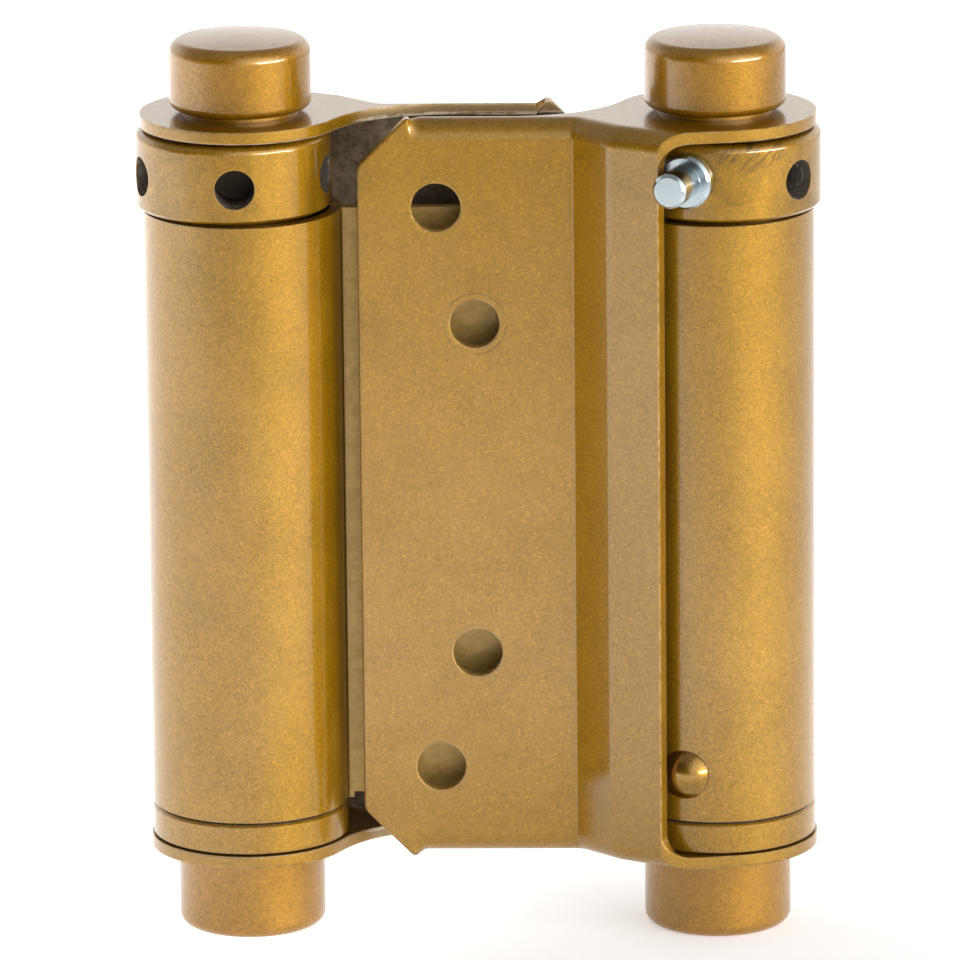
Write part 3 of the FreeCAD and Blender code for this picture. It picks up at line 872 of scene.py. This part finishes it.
@dataclass
class TensionSet:
    """A tension collar with its pin and its spring."""

    side: Side
    edge_wear_and_highlight: float = 0.6
    smudge: float = 0.45
    rim_height: float = 7.75 * MM
    hole_half: float = 2.5 * MM
    hole_lip: float = 0.12 * MM
    hole_mouth: float = 1.2 * MM
    hole_bottom: float = 4.5 * MM
    fold_turn: Point = (0.0, 0.75, 0.0)
    fold_size: Point = (0.45 * MM, 1.4 * MM, 2.6 * MM)
    fold_across: float = 0.3
    fold_ahead: float = 0.95
    fold_drop: float = 0.9 * MM
    fold_flatten: Point = (0.45, 0.45, 1.0)
    fold_reach: Span = (0.6 * MM, 2.4 * MM)
    fold_span: Span = (0.35, 0.65)
    fold_height: float = 12.0
    # Painted shade in the wrinkles' hollows: where it starts and how strong it is.
    hollow_shade_span: Span = (0.42, 0.52)
    hollow_shade_share: float = 0.8

    def axis(self) -> Tuple[float, float, float]:
        """The collar's own axis and radius: its place in X and Y, and its outer radius."""
        low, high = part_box(self.side.node("tension_collar"))
        return (low.x + high.x) / 2, (low.y + high.y) / 2, (high.x - low.x) / 2

    def top(self) -> float:
        """The height of the collar's top."""
        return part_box(self.side.node("tension_collar"))[1].z

    def reach(self, graph: Graph) -> Socket:
        """How far a point is from the collar's axis.

        Args:
            graph: The material's graph.

        Returns:
            The distance's socket.
        """
        x, y, _ = self.axis()
        across, along, _ = graph.axes("Object")
        return graph.reach(across, x, along, y)

    def holes(self, graph: Graph) -> Socket:
        """The mask of the bare walls and bottoms of the collar's holes.

        Args:
            graph: The material's graph.

        Returns:
            The mask's socket.
        """
        level = graph.gap(graph.axes("Object")[2], self.top() - self.rim_height / 2)
        inside = graph.math("LESS_THAN", self.reach(graph), self.axis()[2] - self.hole_lip)
        return graph.product(inside, graph.math("LESS_THAN", level, self.hole_half))

    def painted_shade(self, graph: Graph) -> Socket:
        """How much of the steel's tone shows in a hole: plain at its mouth, darkened to near black by painted
        shade at its bottom.

        Args:
            graph: The material's graph.

        Returns:
            The share's socket.
        """
        radius = self.axis()[2]
        return graph.ramp(self.reach(graph), (radius - self.hole_bottom, radius - self.hole_mouth))

    def folds(self, graph: Graph) -> Tuple[Socket, Socket]:
        """The slanting wrinkles in the paint below the collar's top edge.

        Args:
            graph: The material's graph.

        Returns:
            The wrinkles' own pattern, and how near a point is to where they are.
        """
        x, y, radius = self.axis()
        place = graph.place()
        turned = graph.add("ShaderNodeMapping", {
            "Vector": place, "Rotation": self.fold_turn, "Scale": self.fold_size}, vector_type="TEXTURE")
        pattern = graph.noise(turned.outputs[0], 1.0, 4.0, {"Distortion": 0.8})
        spot = Vector((x + self.fold_across * radius, y - self.fold_ahead * radius,
                       self.top() - self.fold_drop))
        away = graph.vector("SUBTRACT", place, spot).outputs["Vector"]
        flat = graph.vector("MULTIPLY", away, self.fold_flatten).outputs["Vector"]
        distance = graph.add("ShaderNodeVectorMath", {0: flat}, operation="LENGTH").outputs["Value"]
        return pattern, graph.ramp(distance, self.fold_reach, 1.0, 0.0)

    def ripple(self, graph: Graph) -> Socket:
        """The height of the wrinkles in the paint."""
        pattern, near = self.folds(graph)
        return graph.product(graph.ramp(pattern, self.fold_span), near, self.fold_height)

    def darkening(self, graph: Graph) -> Socket:
        """The mask of painted shade in the wrinkles' hollows."""
        pattern, near = self.folds(graph)
        return graph.product(graph.ramp(pattern, self.hollow_shade_span, 1.0, 0.0), near, self.hollow_shade_share)

    def dress(self, zinc: bpy.types.Material, steel: bpy.types.Material) -> None:
        """Give the collar its paint, the pin its zinc and the spring its steel.

        Args:
            zinc: The pin's finish.
            steel: The spring's finish.
        """
        ripple = self.ripple if self.side is Side.DOOR else None
        darkening = self.darkening if self.side is Side.DOOR else None
        paint = GoldPaint(self.side.node("collar_paint"), edge_wear_and_highlight=self.edge_wear_and_highlight, smudge=self.smudge)
        collar = paint.build(self.holes, BARE_STEEL, self.painted_shade, ripple, darkening)
        dress(self.side.node("tension_collar"), collar)
        dress(self.side.node("tension_pin"), zinc)
        dress(self.side.node("torsion_spring"), steel)


@dataclass
class PaintNibs:
    """Tiny bumps of dust under the paint, scattered over the outer faces of each body."""

    density: float = 0.035 / MM ** 2
    smallest: float = 0.035 * MM
    largest: float = 0.085 * MM
    flatness: float = 0.5
    seed: int = 11
    plate_turn: float = -0.7
    top_cap_turn: float = -0.1
    bottom_cap_turn: float = 0.3
    barrel_reach: float = 9.7 * MM
    barrel_turn: float = 0.9

    def tree(self) -> bpy.types.NodeTree:
        """Build the scatter: points on the faces, a low bead on each, made real and given its finish.

        Returns:
            The geometry node tree.
        """
        tree = bpy.data.node_groups.new("paint_nibs", "GeometryNodeTree")
        tree.interface.new_socket("Geometry", in_out="INPUT", socket_type="NodeSocketGeometry")
        for label, kind in (("Density", "Float"), ("Smallest", "Float"), ("Largest", "Float"),
                            ("Flatness", "Float"), ("Seed", "Int"), ("Finish", "Material")):
            tree.interface.new_socket(label, in_out="INPUT", socket_type="NodeSocket" + kind)
        tree.interface.new_socket("Geometry", in_out="OUTPUT", socket_type="NodeSocketGeometry")
        graph = Graph(tree)
        given = graph.add("NodeGroupInput").outputs
        points = graph.add("GeometryNodeDistributePointsOnFaces", {
            "Mesh": given["Geometry"], "Density": given["Density"], "Seed": given["Seed"]})
        bead = graph.add("GeometryNodeMeshIcoSphere", {"Radius": 1.0, "Subdivisions": 1})
        squat = graph.add("ShaderNodeCombineXYZ", {0: 1.0, 1: 1.0, 2: given["Flatness"]})
        low = graph.add("GeometryNodeTransform", {
            "Geometry": bead.outputs["Mesh"], "Scale": squat.outputs[0]})
        # The random node keeps its range of plain numbers at inputs 2 and 3, and gives a number at output 1.
        size = graph.add("FunctionNodeRandomValue", {
            2: given["Smallest"], 3: given["Largest"], "Seed": given["Seed"]}, data_type="FLOAT")
        beads = graph.add("GeometryNodeInstanceOnPoints", {
            "Points": points.outputs["Points"], "Instance": low.outputs[0],
            "Rotation": points.outputs["Rotation"], "Scale": size.outputs[1]})
        real = graph.add("GeometryNodeRealizeInstances", {0: beads.outputs[0]})
        dressed = graph.add("GeometryNodeSetMaterial", {
            "Geometry": real.outputs[0], "Material": given["Finish"]})
        out = graph.add("NodeGroupOutput")
        graph.feed(out.inputs[0], dressed.outputs[0])
        return tree

    def ground(self, nodes: Dict[str, FaceTest]) -> bpy.types.Mesh:
        """Gather the faces that the bumps may stand on.

        Args:
            nodes: Node names, each with a test of a face's middle and normal.

        Returns:
            A mesh of the chosen faces.
        """
        sheet = bmesh.new()
        for name, test in nodes.items():
            data = frame["nodes"][name].data
            for face in data.polygons:
                if test(face.center, face.normal):
                    corners = [sheet.verts.new(data.vertices[i].co) for i in face.vertices]
                    sheet.faces.new(corners)
        mesh = bpy.data.meshes.new("nib_ground")
        sheet.to_mesh(mesh)
        sheet.free()
        return mesh

    def scatter(self, body: str, tree: bpy.types.NodeTree, finish: bpy.types.Material,
                nodes: Dict[str, FaceTest]) -> None:
        """Scatter the bumps over one body's faces as a plain mesh.

        Args:
            body: The body that carries them.
            tree: The scatter's node tree.
            finish: The paint they take.
            nodes: Node names, each with a test of the faces that take bumps.
        """
        carrier = bpy.data.objects.new("nib_carrier", self.ground(nodes))
        bpy.context.scene.collection.objects.link(carrier)
        modifier = carrier.modifiers.new("nibs", "NODES")
        modifier.node_group = tree
        values = {"Density": self.density, "Smallest": self.smallest, "Largest": self.largest,
                  "Flatness": self.flatness, "Seed": self.seed, "Finish": finish}
        for item in tree.interface.items_tree:
            if item.in_out == "INPUT" and item.name in values:
                modifier[item.identifier] = values[item.name]
        evaluated = carrier.evaluated_get(bpy.context.evaluated_depsgraph_get())
        mesh = bpy.data.meshes.new_from_object(evaluated)
        bpy.data.objects.remove(carrier)
        mesh.name = body + "_paint_nibs"
        piece = bpy.data.objects.new(body + "_paint_nibs", mesh)
        bpy.context.scene.collection.objects.link(piece)
        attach(piece, body)
        LOG.info("scattered %d faces of nibs on %s", len(mesh.polygons), body)

    def build(self, finish: bpy.types.Material) -> None:
        """Scatter the bumps over the bodies.

        Args:
            finish: The paint they take.
        """
        tree = self.tree()
        for side in Side:
            self.scatter(side.body, tree, finish, {
                side.node("leaf"): lambda middle, normal, way=side.sign: normal.y * way < self.plate_turn,
                side.node("top_cap"): lambda middle, normal: normal.z > self.top_cap_turn,
                side.node("bottom_cap"): lambda middle, normal: abs(normal.z) < self.bottom_cap_turn})
        self.scatter("web", tree, finish, {"centre_web": self.outside_barrel})

    def outside_barrel(self, middle: Vector, normal: Vector) -> bool:
        """Whether a face of the rolled sheet is on the outside of a barrel.

        Args:
            middle: The face's middle.
            normal: The face's normal.

        Returns:
            True where the face looks away from its spindle axis.
        """
        axis = math.copysign(AXIS_X, middle.x)
        out = Vector((middle.x - axis, middle.y, 0.0))
        return out.length > self.barrel_reach and out.normalized().dot(normal) > self.barrel_turn


@dataclass
class Studio:
    """The pale floor, the soft light all round and the camera."""

    floor_size: float = 6.0
    floor_colour: Colour = (0.93, 0.93, 0.93)
    floor_roughness: float = 0.9
    glow: float = 1.15
    near: Span = (0.10, 0.31)
    near_left: float = 0.38
    edge: Span = (0.28, 0.36)
    edge_left: float = 0.03
    left_slope: float = -1.0
    left_limit: float = -0.4
    right_slope: float = -3.2
    foot: Point = (0.025, -0.02, 0.0)
    foot_shade: Span = (0.015, 0.085)
    foot_left: float = 0.4
    eye: Point = (24.4358 * MM, -966.5773 * MM, 300.4171 * MM)
    yaw: float = -0.0254
    pitch: float = -0.2575
    roll: float = -0.0099
    lens: float = 375.0
    sensor: float = 36.0
    far_limit: float = 20.0
    front: float = 0.38
    back: float = 1.5
    back_turn: Span = (0.0, 0.5)
    back_rise: Span = (0.3, 0.8)
    ceiling: float = 0.35
    ceiling_rise: Span = (0.45, 0.85)
    left_way: Point = (-0.62, -0.75, 0.1)
    left_turn: Span = (0.72, 0.95)
    left_shade: float = 0.2
    fill: float = 1.35
    fill_way: Point = (0.60, -0.78, 0.15)
    fill_turn: Span = (0.58, 0.95)
    key: float = 19.0
    key_way: Point = (0.79, -0.60, 0.12)
    key_turn: Span = (0.86, 0.97)
    key_rise: Span = (0.06, 0.17)
    key_left: float = 0.04

    def build(self) -> None:
        """Set up the floor, the light and the camera."""
        bpy.context.scene.view_settings.view_transform = "Standard"
        self.floor()
        self.world()
        self.camera()

    def floor(self) -> None:
        """Lay the pale floor under the hinge, lit from below like a light table, and less far in front."""
        half = self.floor_size / 2
        mesh = bpy.data.meshes.new("floor")
        corners = [(-half, -half, 0.0), (half, -half, 0.0), (half, half, 0.0), (-half, half, 0.0)]
        mesh.from_pydata(corners, [], [(0, 1, 2, 3)])
        obj = bpy.data.objects.new("floor", mesh)
        bpy.context.scene.collection.objects.link(obj)
        material, graph = new_material("pale_floor")
        across, along, _ = graph.axes("Object")
        ahead = graph.math("MULTIPLY", along, -1.0)
        near = graph.ramp(ahead, self.near, 1.0, self.near_left)
        edge = graph.ramp(ahead, self.edge, 1.0, self.edge_left)
        left = graph.math("MAXIMUM", graph.math("MINIMUM", across, 0.0), self.left_limit)
        to_left = graph.math("MULTIPLY", left, self.left_slope)
        to_right = graph.math("MULTIPLY", graph.math("MAXIMUM", across, 0.0), self.right_slope)
        side = graph.math("EXPONENT", graph.math("ADD", to_left, to_right))
        # Painted shadow: the floor's glow is dimmed round the hinge's foot, standing in for a contact shadow.
        from_foot = graph.vector("DISTANCE", graph.place(), self.foot).outputs["Value"]
        shaded = graph.ramp(from_foot, self.foot_shade, self.foot_left, 1.0)
        graph.surface({
            "Base Color": opaque(self.floor_colour), "Roughness": self.floor_roughness,
            "Emission Color": (1.0, 1.0, 1.0, 1.0),
            "Emission Strength": graph.product(near, edge, side, shaded, self.glow)})
        mesh.materials.append(material)

    def world(self) -> None:
        """Light the hinge softly all round: bright behind, a low key and a broad fill at front right."""
        world = bpy.data.worlds.new("studio")
        world.use_nodes = True
        graph = Graph(world.node_tree)
        way = graph.add("ShaderNodeTexCoord").outputs["Generated"]
        _, along, height = graph.add("ShaderNodeSeparateXYZ", {0: way}).outputs
        low = graph.ramp(height, self.back_rise, 1.0, 0.0)
        behind = graph.product(graph.ramp(along, self.back_turn), low)
        level = graph.blend(behind, self.front, self.back)
        level = graph.blend(graph.ramp(height, self.ceiling_rise), level, self.ceiling)
        left = graph.towards(self.left_way, way)
        level = graph.math("MULTIPLY", level, graph.ramp(left, self.left_turn, 1.0, self.left_shade))
        fill = graph.towards(self.fill_way, way)
        level = graph.math("ADD", level, graph.ramp(fill, self.fill_turn, 0.0, self.fill))
        key = graph.ramp(graph.towards(self.key_way, way), self.key_turn)
        low_key = graph.product(key, graph.ramp(height, self.key_rise, 1.0, self.key_left))
        level = graph.math("ADD", level, graph.math("MULTIPLY", low_key, self.key))
        background = graph.add("ShaderNodeBackground", {0: (1.0, 1.0, 1.0, 1.0), 1: level})
        out = graph.add("ShaderNodeOutputWorld")
        graph.feed(out.inputs[0], background.outputs[0])
        bpy.context.scene.world = world

    def camera(self) -> None:
        """Stand the camera where the photograph was taken from."""
        level = math.cos(self.pitch)
        ahead = Vector((math.sin(self.yaw) * level, math.cos(self.yaw) * level, math.sin(self.pitch)))
        right = Vector((math.cos(self.yaw), -math.sin(self.yaw), 0.0))
        up = right.cross(ahead)
        turn = math.cos(self.roll)
        lean = math.sin(self.roll)
        across = right * turn + up * lean
        upward = up * turn - right * lean
        frame_of_view = Matrix((across, upward, -ahead)).transposed().to_4x4()
        lens = bpy.data.cameras.new("camera")
        lens.lens = self.lens
        lens.sensor_width = self.sensor
        lens.clip_end = self.far_limit
        obj = bpy.data.objects.new("camera", lens)
        obj.matrix_world = Matrix.Translation(self.eye) @ frame_of_view
        bpy.context.scene.collection.objects.link(obj)
        bpy.context.scene.camera = obj


def main() -> None:
    """Dress the hinge and set up the studio."""
    logging.basicConfig(level=logging.INFO)
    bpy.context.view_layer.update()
    paint = SHADED_CAP_PAINT.build()
    zinc = BRIGHT_ZINC.build()
    steel = DRAWN_STEEL.build()
    BarrelWeb().dress()
    for side in Side:
        Leaf(side).dress()
        SpindleSet(side).dress(paint, steel)
        TensionSet(side).dress(zinc, steel)
    PaintNibs().build(paint)
    Studio().build()


if __name__ == "__main__":
    main()
